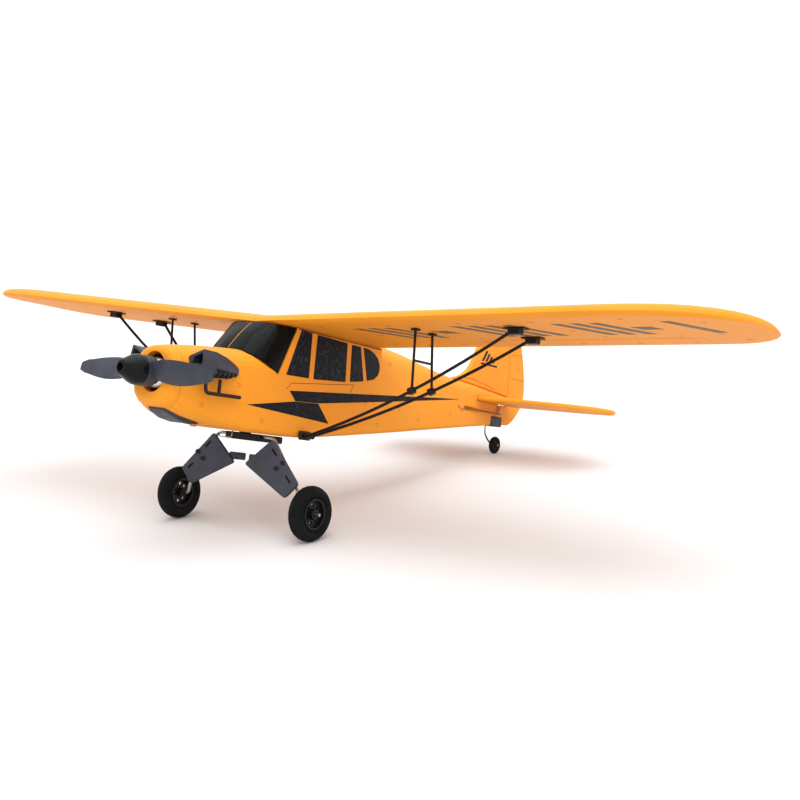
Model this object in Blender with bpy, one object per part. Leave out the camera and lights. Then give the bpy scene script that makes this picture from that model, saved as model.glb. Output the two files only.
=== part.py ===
# High-wing foam trainer airplane, 638 mm span, standing on its three wheels.
# Geometry is laid out in the aircraft's own level frame in millimetres:
#   +X to the pilot's left wing tip, +Y back to the tail, +Z up,
#   zero at the front of the propeller hub, on the thrust line.
# The last step pitches it nose-up onto its wheels and converts to metres.
import math
import bpy
import bmesh
from mathutils import Matrix, Vector

for _o in list(bpy.data.objects):
    bpy.data.objects.remove(_o, do_unlink=True)

# ---------------------------------------------------------------- dimensions
GAP = 0.3                  # clearance between touching pieces

SPAN = 638.0
WING_LE = 105.5            # leading edge station
WING_TE = 217.0            # trailing edge station
WING_T = 8.8               # thickness
WING_Z0 = 41.6             # underside height at the centre line
DIHEDRAL = 0.054           # rise per millimetre of span
TIP_Y = 176.0              # station of the outermost point of the tip
TIP_LE_X = 236.0           # where the front edge starts to curve
TIP_TE_X = 284.0           # where the rear edge starts to curve

AIL_Y = 190.8              # aileron hinge line
AIL_X0, AIL_X1 = 122.0, 271.0

PROP_R = 57.0
HUB_R = 9.3
MOTOR_R = 9.4

WHEEL_X, WHEEL_Y, WHEEL_Z = 58.9, 115.9, -74.8
WHEEL_R, TYRE_W = 17.7, 11.0
RIM_R = 10.0
AXLE_R = 1.1
TAILW_Y, TAILW_Z, TAILW_R = 425.7, -13.8, 7.4
STEER_Y = 407.0            # tail wheel steering pivot

STAB_Z, STAB_T = 22.6, 3.6
STAB_HALF = 115.0
ELEV_Y = 412.0             # elevator hinge line
RUD_LOW = Vector((0.0, 437.5, 5.0))     # rudder hinge line, bottom and top
RUD_TOP = Vector((0.0, 428.8, 94.0))
TAIL_T = 4.0               # fin and rudder thickness
ROD_X, ROD_Z = 10.0, 12.6  # tail pushrods
HORN_R = 10.0
ROD_ZR = 6.5               # rudder pushrod, below the elevator's travel

STRUT_R = 1.05
STRUT_SAG = 5.4
STRUT_LOW = Vector((30.4, 139.2, -26.6))
STRUT_FRONT = Vector((172.1, 140.6, 47.4))
STRUT_REAR = Vector((162.6, 178.6, 46.9))
JURY_X = 108.0

# ------------------------------------------------------------------- helpers
NODES = {}                 # name -> (object, origin in level millimetres)


def material(name, rgb, rough, metal=0.0):
    m = bpy.data.materials.get(name)
    if m is None:
        m = bpy.data.materials.new(name)
        m.use_nodes = True
        b = m.node_tree.nodes["Principled BSDF"]
        b.inputs["Base Color"].default_value = (*rgb, 1.0)
        b.inputs["Roughness"].default_value = rough
        b.inputs["Metallic"].default_value = metal
        m.diffuse_color = (*rgb, 1.0)
    return m


FOAM = material("yellow_foam", (0.95, 0.40, 0.03), 0.6)
SLATE = material("slate_plastic", (0.06, 0.065, 0.085), 0.45)
BLACK = material("black_plastic", (0.012, 0.012, 0.014), 0.4)
GLOSS = material("gloss_black", (0.008, 0.008, 0.01), 0.12)
RUBBER = material("rubber", (0.015, 0.015, 0.015), 0.8)
STEEL = material("steel_wire", (0.55, 0.54, 0.52), 0.3, 1.0)
BROWN = material("burnt_metal", (0.05, 0.028, 0.02), 0.4, 0.3)
GREY = material("grey_plastic", (0.25, 0.26, 0.28), 0.5)
BLUE = material("battery_wrap", (0.02, 0.06, 0.20), 0.4)
GREEN = material("circuit_green", (0.02, 0.16, 0.06), 0.5)
SERVO = material("servo_case", (0.03, 0.07, 0.20), 0.35)
WHITE = material("white_nylon", (0.8, 0.8, 0.78), 0.4)


def finish_mesh(bm):
    bmesh.ops.remove_doubles(bm, verts=bm.verts, dist=1e-4)
    bmesh.ops.recalc_face_normals(bm, faces=bm.faces)


def make(name, bm):
    finish_mesh(bm)
    me = bpy.data.meshes.new(name)
    bm.to_mesh(me)
    bm.free()
    ob = bpy.data.objects.new(name, me)
    bpy.context.scene.collection.objects.link(ob)
    return ob


def loft(name, rings):
    """Closed solid through rings of equal point count, flat ends."""
    bm = bmesh.new()
    vs = [[bm.verts.new(p) for p in r] for r in rings]
    n = len(rings[0])
    for a, b in zip(vs, vs[1:]):
        for i in range(n):
            j = (i + 1) % n
            bm.faces.new((a[i], a[j], b[j], b[i]))
    bm.faces.new(list(reversed(vs[0])))
    bm.faces.new(vs[-1])
    return make(name, bm)


def box(name, x0, x1, y0, y1, z0, z1):
    bm = bmesh.new()
    c = Vector(((x0 + x1) / 2, (y0 + y1) / 2, (z0 + z1) / 2))
    bmesh.ops.create_cube(bm, size=1.0)
    for v in bm.verts:
        v.co = Vector((c.x + v.co.x * (x1 - x0), c.y + v.co.y * (y1 - y0),
                       c.z + v.co.z * (z1 - z0)))
    return make(name, bm)


def rounded_box(name, x0, x1, y0, y1, z0, z1, r=1.0, seg=2):
    ob = box(name, x0, x1, y0, y1, z0, z1)
    bm = bmesh.new()
    bm.from_mesh(ob.data)
    bmesh.ops.bevel(bm, geom=list(bm.edges), offset=r, segments=seg,
                    affect='EDGES', profile=0.5, clamp_overlap=True)
    finish_mesh(bm)
    bm.to_mesh(ob.data)
    bm.free()
    return ob


def frame_of(d):
    d = d.normalized()
    a = Vector((0, 0, 1)) if abs(d.z) < 0.9 else Vector((1, 0, 0))
    u = d.cross(a).normalized()
    return u, d.cross(u).normalized()


def tube(name, pts, r, n=10, r_end=None):
    """Round rod along a run of points."""
    pts = [Vector(p) for p in pts]
    rings = []
    u = None
    for i, p in enumerate(pts):
        if i == 0:
            d = pts[1] - p
        elif i == len(pts) - 1:
            d = p - pts[i - 1]
        else:
            d = (pts[i + 1] - p).normalized() + (p - pts[i - 1]).normalized()
        d.normalize()
        if u is None:
            u, v = frame_of(d)
        else:
            u = (u - u.dot(d) * d).normalized()
            v = d.cross(u).normalized()
        if 0 < i < len(pts) - 1:
            e = (pts[i + 1] - p).normalized()
            k = 1.0 / max(0.5, d.dot(e))
        else:
            k = 1.0
        rr = r if r_end is None else r + (r_end - r) * i / (len(pts) - 1)
        ax = None
        if 0 < i < len(pts) - 1:
            b = (pts[i + 1] - p).normalized() - (p - pts[i - 1]).normalized()
            if b.length > 1e-4:
                ax = (b - b.dot(d) * d).normalized()
        ring = []
        for j in range(n):
            t = 2 * math.pi * j / n
            q = rr * (math.cos(t) * u + math.sin(t) * v)
            if ax is not None:
                q = q + ax * (q.dot(ax) * (k - 1.0))
            ring.append(p + q)
        rings.append(ring)
    return loft(name, rings)


def rod(name, a, b, r, n=12):
    return tube(name, [a, b], r, n)


def bend(pts, radius=3.0, seg=4):
    """Round the corners of a run of points."""
    pts = [Vector(p) for p in pts]
    out = [pts[0]]
    for a, p, b in zip(pts, pts[1:], pts[2:]):
        u = (a - p)
        w = (b - p)
        t = min(radius, 0.45 * u.length, 0.45 * w.length)
        q0 = p + u.normalized() * t
        q1 = p + w.normalized() * t
        for i in range(seg + 1):
            s = i / seg
            out.append(q0 * (1 - s) ** 2 + p * 2 * s * (1 - s) + q1 * s * s)
    out.append(pts[-1])
    return out


def turned(name, profile, origin, axis='Y', n=32):
    """Ring or solid turned about an axis: profile is (radius, along)."""
    bm = bmesh.new()
    o = Vector(origin)
    rows = []
    for r, h in profile:
        if r < 1e-6:
            p = {'X': Vector((h, 0, 0)), 'Y': Vector((0, h, 0)),
                 'Z': Vector((0, 0, h))}[axis]
            rows.append([bm.verts.new(o + p)])
        else:
            row = []
            for j in range(n):
                t = 2 * math.pi * j / n
                c, s = r * math.cos(t), r * math.sin(t)
                p = {'X': Vector((h, c, s)), 'Y': Vector((s, h, c)),
                     'Z': Vector((c, s, h))}[axis]
                row.append(bm.verts.new(o + p))
            rows.append(row)
    m = len(rows)
    closed = min(r for r, h in profile) > 1e-6
    pairs = list(zip(range(m), range(1, m)))
    if closed:
        pairs.append((m - 1, 0))
    for i, k in pairs:
        a, b = rows[i], rows[k]
        if len(a) == 1 and len(b) == 1:
            continue
        for j in range(n):
            l = (j + 1) % n
            if len(a) == 1:
                bm.faces.new((a[0], b[l], b[j]))
            elif len(b) == 1:
                bm.faces.new((a[j], a[l], b[0]))
            else:
                bm.faces.new((a[j], a[l], b[l], b[j]))
    return make(name, bm)


def boolean(ob, tool, op='DIFFERENCE', keep=False):
    m = ob.modifiers.new("cut", 'BOOLEAN')
    m.operation = op
    m.solver = 'EXACT'
    m.object = tool
    dg = bpy.context.evaluated_depsgraph_get()
    me = bpy.data.meshes.new_from_object(ob.evaluated_get(dg))
    ob.modifiers.clear()
    ob.data = me
    if not keep:
        bpy.data.objects.remove(tool, do_unlink=True)
    return ob


def union(ob, *others):
    for o in others:
        boolean(ob, o, 'UNION')
    return ob


def inset_outline(pts, d):
    """Move a closed outline (2-D, counter-clockwise) inwards by d."""
    n = len(pts)
    area = sum(pts[i][0] * pts[(i + 1) % n][1] - pts[(i + 1) % n][0] * pts[i][1]
               for i in range(n))
    s = 1.0 if area > 0 else -1.0
    out = []
    for i in range(n):
        a, p, b = pts[i - 1], pts[i], pts[(i + 1) % n]
        e1 = Vector((p[0] - a[0], p[1] - a[1])).normalized()
        e2 = Vector((b[0] - p[0], b[1] - p[1])).normalized()
        n1 = Vector((-e1.y, e1.x)) * s
        n2 = Vector((-e2.y, e2.x)) * s
        m = (n1 + n2)
        m = m.normalized() if m.length > 1e-6 else n1
        k = 1.0 / max(0.6, m.dot(n1))
        out.append((p[0] + m.x * d * k, p[1] + m.y * d * k))
    return out


def slab(name, outline, t, edge, place):
    """Flat surface with softened edges: place(u, v, h) gives the 3-D point."""
    inner = inset_outline(outline, edge)
    rings = []
    for pts, h in ((inner, -t / 2), (outline, -t / 2 * 0.42),
                   (outline, t / 2 * 0.42), (inner, t / 2)):
        rings.append([place(u, v, h) for u, v in pts])
    return loft(name, rings)


def curve_through(pts, seg=4):
    """Smooth open run through the given 2-D points (Catmull-Rom)."""
    out = []
    n = len(pts)
    for i in range(n - 1):
        p0 = pts[max(0, i - 1)]
        p1, p2 = pts[i], pts[i + 1]
        p3 = pts[min(n - 1, i + 2)]
        for k in range(seg):
            t = k / seg
            out.append(tuple(0.5 * (2 * p1[c] + (p2[c] - p0[c]) * t
                                    + (2 * p0[c] - 5 * p1[c] + 4 * p2[c] - p3[c]) * t * t
                                    + (3 * p1[c] - p0[c] - 3 * p2[c] + p3[c]) * t ** 3)
                             for c in (0, 1)))
    out.append(tuple(pts[-1]))
    return out


def node(ob, name, mat, origin=(0, 0, 0), smooth=35):
    ob.name = name
    ob.data.name = name
    ob.data.materials.clear()
    ob.data.materials.append(mat)
    NODES[name] = (ob, Vector(origin))
    ob["smooth_deg"] = smooth
    return ob


def mirrored(ob, name, mat, origin, smooth=35):
    me = ob.data.copy()
    me.transform(Matrix.Diagonal((-1.0, 1.0, 1.0, 1.0)))
    me.flip_normals()
    o = bpy.data.objects.new(name, me)
    bpy.context.scene.collection.objects.link(o)
    return node(o, name, mat, (-origin[0], origin[1], origin[2]), smooth)


def pair(ob, base, mat, origin=(0, 0, 0), smooth=35):
    mirrored(ob, base + "_right", mat, origin, smooth)
    return node(ob, base + "_left", mat, origin, smooth)


# ------------------------------------------------------------------ fuselage
# station, half width, belly height, deck height, corner radius, shoulder
# height; in the windshield seat also: angle where the outer skin stops,
# half width and top of the recessed inner wall
SQUARE = 0.8               # how boxy the rounded upper deck is


def fuselage_stations():
    s = [
        (31.3, 19.0, -20.3, 17.3, 11.0, 2.0, None),
        (35.0, 20.4, -21.8, 18.0, 10.0, 3.0, None),
        (42.0, 22.3, -24.0, 19.0, 8.5, 4.0, None),
        (52.0, 23.6, -25.7, 20.2, 6.5, 5.0, None),
        (64.0, 24.4, -27.2, 21.3, 5.0, 6.5, None),
        (76.0, 24.8, -28.2, 22.3, 4.0, 8.0, None),
        (85.1, 25.0, -28.7, 22.9, 3.2, 9.0, None),
        # seat for the windshield: inner wall set back behind the screen
        (85.6, 25.0, -28.8, 22.9, 3.0, 9.0, (70.0, 15.0, 20.6)),
        (88.0, 25.0, -28.8, 22.9, 3.0, 9.0, (44.0, 16.0, 22.4)),
        (92.0, 25.0, -28.8, 22.9, 3.0, 9.0, (30.0, 20.0, 26.9)),
        (98.0, 25.0, -28.8, 22.9, 3.0, 9.0, (16.0, 21.6, 33.5)),
        (104.6, 25.0, -28.8, 22.9, 3.0, 9.0, (8.0, 22.0, 40.4)),
        (108.0, 25.0, -28.8, 22.9, 3.0, 9.0, (2.5, 22.2, 41.3)),
    ]
    for y in (112.0, 116.4, 120.6):
        pillar = 9.4 + 31.4 * (y - 108.0) / 12.9
        s.append((y, 25.0, -28.8, pillar + 1.2, 3.0, pillar, (4.0, 22.2, 41.3)))
    s += [
        (121.2, 25.0, -28.9, 41.3, 3.0, 42.5, None),
        (136.0, 25.0, -28.5, 41.3, 3.0, 42.5, None),
        (160.0, 25.0, -26.2, 41.3, 3.0, 42.5, None),
        (190.0, 24.4, -22.8, 41.3, 3.0, 42.5, None),
        (217.4, 23.0, -19.6, 41.3, 3.0, 42.3, None),
        (217.8, 23.0, -19.6, 47.4, 3.0, 31.0, None),
        (236.0, 21.6, -17.5, 46.4, 3.0, 29.0, None),
        (262.0, 19.4, -14.5, 44.0, 3.0, 27.0, None),
        (290.0, 16.9, -11.2, 40.3, 3.0, 25.5, None),
        (318.0, 14.3, -7.9, 37.0, 2.8, 24.8, None),
        (345.0, 11.7, -4.8, 34.8, 2.6, 24.5, None),
        (372.0, 9.2, -1.6, 33.6, 2.4, 25.0, None),
        (400.0, 7.0, 1.5, 31.4, 2.2, 25.4, None),
        (432.0, 4.6, 4.7, 28.9, 1.8, 25.0, None),
    ]
    return s


def fuselage_ring(st, grow=0.0):
    y, w, zb, zt, rb, zs, seat = st
    w += grow
    zb -= grow
    zt += grow
    stop, w2, zt2 = seat if seat else (34.0, w, zt)
    half = [(0.0, zb)]
    for a in (0, 30, 60, 90):
        t = math.radians(a)
        half.append((w - rb + rb * math.sin(t), zb + rb - rb * math.cos(t)))
    half.append((w, (zb + rb + zs) * 0.5))
    for k in range(4):
        t = math.radians(stop * k / 3)
        half.append((w * math.cos(t) ** SQUARE, zs + (zt - zs) * math.sin(t) ** SQUARE))
    if seat:
        z0 = half[-1][1] + 0.25
        t0 = math.asin(min(1.0, ((z0 - zs) / (zt2 - zs)) ** (1 / SQUARE)))
    else:
        t0 = math.radians(stop + 11.0)
    for k in range(5):
        t = t0 + (math.pi / 2 - t0) * k / 5
        half.append((w2 * math.cos(t) ** SQUARE, zs + (zt2 - zs) * math.sin(t) ** SQUARE))
    half.append((0.0, zt2))
    right = [(-x, z) for x, z in reversed(half[1:-1])]
    return half + right


def hinge_y(z):
    """Station of the rudder hinge line at height z."""
    return RUD_LOW.y + (RUD_TOP.y - RUD_LOW.y) * (z - RUD_LOW.z) / (RUD_TOP.z - RUD_LOW.z)


def fuselage_solid(name, grow=0.0):
    rings = []
    sts = fuselage_stations()
    for i, st in enumerate(sts):
        ring = []
        for x, z in fuselage_ring(st, grow):
            y = st[0]
            if i == len(sts) - 1:
                y = hinge_y(z) - 1.6
            ring.append(Vector((x, y, z)))
        rings.append(ring)
    return loft(name, rings)


def frame_ring(y, w, z0, z1, c):
    """Chamfered rectangular section."""
    p = [(w - c, z0), (w, z0 + c), (w, z1 - c), (w - c, z1),
         (-w + c, z1), (-w, z1 - c), (-w, z0 + c), (-w + c, z0)]
    return [Vector((x, y, z)) for x, z in p]


def belly(y):
    """Height of the underside at station y."""
    s = fuselage_stations()
    for a, b in zip(s, s[1:]):
        if a[0] <= y <= b[0]:
            k = (y - a[0]) / (b[0] - a[0])
            return a[2] + (b[2] - a[2]) * k
    return s[-1][2]


fuselage = fuselage_solid("fuselage")
cavity = loft("cavity", [
    frame_ring(29.0, 13.5, -14.5, 12.0, 4.0),
    frame_ring(36.0, 15.5, -16.0, 13.0, 4.0),
    frame_ring(50.0, 19.0, -21.0, 14.5, 3.0),
    frame_ring(84.0, 20.8, -24.6, 17.0, 2.0),
    frame_ring(98.0, 19.0, -24.8, 20.0, 2.0),
    frame_ring(112.0, 19.5, -24.8, 33.0, 2.0),
    frame_ring(160.0, 20.8, -22.4, 37.0, 2.0),
    frame_ring(217.0, 18.8, -15.8, 36.0, 2.0),
    frame_ring(262.0, 14.8, -10.6, 34.0, 2.0),
    frame_ring(300.0, 11.6, -6.4, 31.0, 2.0),
])
boolean(fuselage, cavity)

HATCH_X, HATCH_Y0, HATCH_Y1 = 14.5, 61.0, 103.5
boolean(fuselage, box("hatch_hole", -HATCH_X - 0.4, HATCH_X + 0.4,
                      HATCH_Y0 - 0.9, HATCH_Y1 + 0.4, -34.0, -22.0))
# slot for the stabilizer and the elevator joiner, open at the back
boolean(fuselage, box("stab_slot", -20, 20, 374.0, 450, STAB_Z - 2.15, STAB_Z + 2.15))
# seat for the tail box
boolean(fuselage, box("tail_seat", -20, 20, 403.2, 423.0, -10.0, 10.4))
# channels for the two tail pushrods
for sx in (1, -1):
    rz = ROD_Z if sx > 0 else ROD_ZR
    boolean(fuselage, rod("channel", (sx * ROD_X, 285, rz), (sx * ROD_X, 392, rz), 2.0, 14))
node(fuselage, "fuselage", FOAM, (0, 138, 0), 40)

# nose bowl around the motor
nose_rings = []
for y, w, zb, zt, rb, zs in ((25.2, 14.6, -15.6, 13.6, 10.5, 1.0),
                             (26.2, 16.6, -17.8, 15.4, 11.0, 1.0),
                             (28.2, 18.1, -19.3, 16.6, 11.2, 1.5),
                             (31.0, 19.0, -20.3, 17.3, 11.0, 2.0)):
    nose_rings.append([Vector((x, y, z)) for x, z in
                       fuselage_ring((y, w, zb, zt, rb, zs, None))])
nose = loft("cowl_nose", nose_rings)
ell = lambda y, a, b, n=28: [Vector((a * math.cos(2 * math.pi * i / n), y,
                                     0.4 + b * math.sin(2 * math.pi * i / n)))
                             for i in range(n)]
boolean(nose, loft("opening", [ell(22, 11.0, 12.8), ell(28.4, 10.6, 12.0), ell(34, 12.4, 12.4)]))
node(nose, "cowl_nose", FOAM, (0, 28, 0), 40)

# hatch under the nose, hinged on its rear edge
hatch = loft("battery_hatch", [frame_ring(y, HATCH_X, belly(y), belly(y) + 3.6, 0.5)
                               for y in (HATCH_Y0, 70, 80, 90, HATCH_Y1)])
union(hatch, rod("thumb", (0, 63.4, -29.4), (0, 63.4, -26.0), 2.0, 16))
HATCH_HINGE = Vector((0, HATCH_Y1 - 0.4, -28.5))
node(hatch, "battery_hatch", FOAM, HATCH_HINGE)

# chin piece under the cowl
scoop = loft("lower_scoop", [
    [Vector((w * sx, y, z)) for sx, z in ((1, belly(y) - GAP - 0.05), (-1, belly(y) - GAP - 0.05),
                                          (-0.86, belly(y) - d), (0.86, belly(y) - d))]
    for y, w, d in ((31.4, 7.0, 1.2), (34.0, 8.6, 1.9), (42.0, 9.6, 2.4), (52.0, 9.8, 2.4), (58.5, 9.4, 1.4))])
node(scoop, "lower_scoop", SLATE, (0, 45, -25))

# ---------------------------------------------------------------- windshield
def screen_edge(u):
    """Lower and upper edge of the screen at u = 0 (middle) .. 1 (side)."""
    lower = curve_edge([(0, 85.2, 23.3), (9, 85.0, 22.9), (17, 86.7, 21.2),
                        (21.9, 90.8, 18.7), (24.4, 97.8, 15.5), (25.3, 107.2, 11.0)], u)
    upper = curve_edge([(0, 104.7, 43.3), (6, 104.7, 43.3), (13, 104.8, 43.0),
                        (19.8, 106.4, 42.0), (23.6, 113.2, 42.0), (25.2, 120.1, 41.9)], u)
    return lower, upper


def curve_edge(pts, u):
    n = len(pts) - 1
    t = min(u * n, n - 1e-6)
    i = int(t)
    f = t - i
    p0 = Vector(pts[max(0, i - 1)])
    p1, p2 = Vector(pts[i]), Vector(pts[i + 1])
    p3 = Vector(pts[min(n, i + 2)])
    if i == 0:
        p0 = Vector((-pts[1][0], pts[1][1], pts[1][2]))
    return 0.5 * (2 * p1 + (p2 - p0) * f + (2 * p0 - 5 * p1 + 4 * p2 - p3) * f * f
                  + (3 * p1 - p0 - 3 * p2 + p3) * f ** 3)


NU, NV = 10, 7
grid = []
for i in range(-NU, NU + 1):
    lo, hi = screen_edge(abs(i) / NU)
    col = []
    for j in range(NV + 1):
        v = j / NV
        p = lo.lerp(hi, v)
        out = 0.9 * math.sin(math.pi * v) * (1 - abs(i) / NU) ** 0.5
        p = p + Vector((0, -0.7, 0.7)) * out
        col.append(Vector((math.copysign(p.x, i) if i else 0.0, p.y, p.z)))
    grid.append(col)
bm = bmesh.new()
n_u, n_v = len(grid), NV + 1
outer = [[None] * n_v for _ in range(n_u)]
inner = [[None] * n_v for _ in range(n_u)]
for i in range(n_u):
    for j in range(n_v):
        a = grid[min(i + 1, n_u - 1)][j] - grid[max(i - 1, 0)][j]
        b = grid[i][min(j + 1, n_v - 1)] - grid[i][max(j - 1, 0)]
        nrm = a.cross(b).normalized()
        if nrm.dot(grid[i][j] - Vector((0, 125, 12))) < 0:
            nrm = -nrm
        outer[i][j] = bm.verts.new(grid[i][j])
        inner[i][j] = bm.verts.new(grid[i][j] - nrm * 1.0)
for i in range(n_u - 1):
    for j in range(n_v - 1):
        bm.faces.new((outer[i][j], outer[i + 1][j], outer[i + 1][j + 1], outer[i][j + 1]))
        bm.faces.new((inner[i][j], inner[i][j + 1], inner[i + 1][j + 1], inner[i + 1][j]))
for i in range(n_u - 1):
    bm.faces.new((outer[i][0], inner[i][0], inner[i + 1][0], outer[i + 1][0]))
    bm.faces.new((outer[i][-1], outer[i + 1][-1], inner[i + 1][-1], inner[i][-1]))
for j in range(n_v - 1):
    bm.faces.new((outer[0][j], outer[0][j + 1], inner[0][j + 1], inner[0][j]))
    bm.faces.new((outer[-1][j], inner[-1][j], inner[-1][j + 1], outer[-1][j + 1]))
node(make("windshield", bm), "windshield", GLOSS, (0, 105, 30), 50)

# ---------------------------------------------------------------------- wing
def under(x):
    return WING_Z0 + DIHEDRAL * x


def edge_front(x):
    if x <= TIP_LE_X:
        return WING_LE
    s = min(1.0, (x - TIP_LE_X) / (SPAN / 2 - TIP_LE_X))
    return TIP_Y - (TIP_Y - WING_LE) * (1 - s ** 2.6) ** (1 / 2.2)


def edge_rear(x):
    if x <= TIP_TE_X:
        return WING_TE
    s = min(1.0, (x - TIP_TE_X) / (SPAN / 2 - TIP_TE_X))
    return TIP_Y + (WING_TE - TIP_Y) * (1 - s ** 2.0) ** 0.5


def foil(xi, t, te):
    """Height of the upper surface at chord fraction xi."""
    nose_h = 0.26 * t
    bump = (0.2969 * math.sqrt(xi) - 0.1260 * xi - 0.3516 * xi ** 2
            + 0.2843 * xi ** 3 - 0.1015 * xi ** 4) / 0.1
    return nose_h * (1 - xi) + (t - 0.7 * nose_h) * bump + te * xi


def foil_low(xi, t):
    return 0.26 * t * max(0.0, 1 - xi / 0.045) ** 2


def wing_ring(x):
    a, b = edge_front(x), edge_rear(x)
    c = max(b - a, 0.5)
    k = (c / (WING_TE - WING_LE)) ** 0.75
    t, te = WING_T * k, 1.1 * k
    z = under(x) + (WING_T * (1 - k)) * 0.15
    pts = []
    m = 11
    for i in range(m, -1, -1):
        xi = (i / m) ** 1.75
        pts.append(Vector((x, a + c * xi, z + foil(xi, t, te))))
    for xi in (0.004, 0.014, 0.03, 0.055, 0.25, 0.5, 0.76, 1.0):
        pts.append(Vector((x, a + c * xi, z + foil_low(xi, t))))
    return pts


xs = [0.15, 24.0, 60.0, 98.0, AIL_X0, 160.0, 198.0, 236.0, 254.0, AIL_X1]
xs += [AIL_X1 + (SPAN / 2 - AIL_X1) * math.sin(math.radians(a)) for a in (10, 22, 34, 46, 57, 67, 76, 83, 88)]
wing = loft("wing", [wing_ring(x) for x in xs])
boolean(wing, box("ail_cut", AIL_X0 - 0.5, AIL_X1 + 0.5, AIL_Y - 0.6, 240, 30, 90))
# pocket for the aileron servo, on top, and the bore for the joiner tube
SV_X, SV_Y = 178.0, 165.0
sv_z = under(SV_X)
boolean(wing, box("servo_pocket", SV_X - 5.6, SV_X + 7.6, SV_Y - 11.4, SV_Y + 9.4, sv_z + 2.2, sv_z + 20))
pair(wing, "wing", FOAM, (0, 160, WING_Z0), 30)

# ailerons, bevelled on the hinge side
def aileron_ring(x):
    z = under(x)
    c = WING_TE - WING_LE

    def up(y):
        return z + foil((y - WING_LE) / c, WING_T, 1.1)
    mid = z + (up(AIL_Y) - z) * 0.5
    pts = [(AIL_Y - 0.1, mid + 0.35), (AIL_Y + 1.9, up(AIL_Y + 1.9))]
    for y in (AIL_Y + 8, AIL_Y + 15, AIL_Y + 21):
        pts.append((y, up(y)))
    pts += [(WING_TE, z + 1.1), (WING_TE, z), (AIL_Y + 12, z),
            (AIL_Y + 1.9, z), (AIL_Y - 0.1, mid - 0.35)]
    return [Vector((x, y, h)) for y, h in pts]


ail = loft("aileron", [aileron_ring(x) for x in (AIL_X0, 160.0, 198.0, 236.0, AIL_X1)])
AIL_H = 0.5 * foil((AIL_Y - WING_LE) / (WING_TE - WING_LE), WING_T, 1.1)
AIL_PIVOT = Vector((SV_X + 6.0, AIL_Y, under(SV_X + 6.0) + AIL_H))
pair(ail, "aileron", FOAM, AIL_PIVOT, 30)

# aileron servos: flat in the wing, arm and pushrod above the surface
servo = rounded_box("servo_aileron", SV_X - 5.2, SV_X + 3.6, SV_Y - 11.0, SV_Y + 9.0,
                    sv_z + 2.6, sv_z + 9.2, 0.6, 1)
pair(servo, "servo_aileron", SERVO, (SV_X, SV_Y, sv_z + 6))
AA_Y, AA_Z = SV_Y + 3.0, sv_z + 5.0     # output shaft
AA_R = 6.0
arm_z = AA_Z + AA_R


def arm_outline(r, root=2.4, tip=1.5, n=6):
    """Long-hole arm pointing up from its shaft (2-D)."""
    pts = [(root * math.cos(math.radians(a)), root * math.sin(math.radians(a)))
           for a in range(180, 361, 30)]
    pts += [(tip * math.cos(math.radians(a)), r + tip * math.sin(math.radians(a)))
            for a in range(0, 181, 30)]
    return pts


def plate(name, outline, x0, x1, cy, cz, flip=1.0):
    """Flat plate in the Y-Z plane between x0 and x1."""
    return loft(name, [[Vector((x, cy + u, cz + flip * v)) for u, v in outline]
                       for x in (x0, x1)])


arm = plate("arm_aileron", arm_outline(AA_R), SV_X + 4.0, SV_X + 5.0, AA_Y, AA_Z)
pair(arm, "arm_aileron", WHITE, (SV_X + 4.5, AA_Y, AA_Z))
AIL_HORN_R = 6.0
horn_x = SV_X + 4.5
hz = under(horn_x) + AIL_H + AIL_HORN_R           # hole height of the horn
top_at = lambda y: under(horn_x) + foil((y - WING_LE) / (WING_TE - WING_LE), WING_T, 1.1)
horn = loft("horn_aileron", [[Vector((x, y, z)) for y, z in
                              ((AIL_Y + 2.6, top_at(AIL_Y + 2.6) + 0.35), (AIL_Y + 9.0, top_at(AIL_Y + 9.0) + 0.35),
                               (AIL_Y + 2.2, hz + 1.4), (AIL_Y + 0.4, hz + 2.0), (AIL_Y - 1.4, hz + 1.2),
                               (AIL_Y - 1.6, hz - 0.6), (AIL_Y + 0.6, hz - 3.0))]
                             for x in (horn_x - 0.5, horn_x + 0.5)])
pair(horn, "horn_aileron", WHITE, AIL_PIVOT)
push = rod("pushrod_aileron", (horn_x + 1.35, AA_Y - 1.2, arm_z), (horn_x + 1.35, AIL_Y + 1.2, hz), 0.55, 10)
pair(push, "pushrod_aileron", STEEL, (horn_x + 1.35, (AA_Y + AIL_Y) / 2, (arm_z + hz) / 2))

# -------------------------------------------------------------------- struts
def strut_point(a, b, t):
    p = a.lerp(b, t)
    p.z -= STRUT_SAG * 4 * t * (1 - t)
    return p


def strut_at_x(a, b, x):
    t = (x - a.x) / (b.x - a.x)
    return strut_point(a, b, t), (strut_point(a, b, t + 0.02) - strut_point(a, b, t - 0.02)).normalized()


SF0 = STRUT_LOW + Vector((0.6, -1.9, 0.1))
SR0 = STRUT_LOW + Vector((0.6, 1.9, 0.1))
front = tube("wing_strut", [strut_point(SF0, STRUT_FRONT, i / 10) for i in range(11)], STRUT_R, 8)
rear = tube("rear_strut", [strut_point(SR0, STRUT_REAR, i / 10) for i in range(11)], STRUT_R, 8)
union(front, rear, rod("strut_end", STRUT_LOW + Vector((0.4, -3.6, 0)), STRUT_LOW + Vector((0.4, 3.6, 0)), 1.9, 14))
pair(front, "wing_strut", BLACK, STRUT_LOW)

fit = rounded_box("strut_fitting", 25.4, 28.0, 133.8, 144.6, -29.6, -23.6, 0.7, 1)
pair(fit, "strut_fitting", BROWN, (27, 139, -27))


def under_box(name, x, y, sx, sy, h):
    """Block lying against the wing's underside."""
    b = rounded_box(name, x - sx / 2, x + sx / 2, y - sy / 2, y + sy / 2, -h, -GAP, 0.5, 1)
    for v in b.data.vertices:
        v.co.z += under(v.co.x)
    return b


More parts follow.
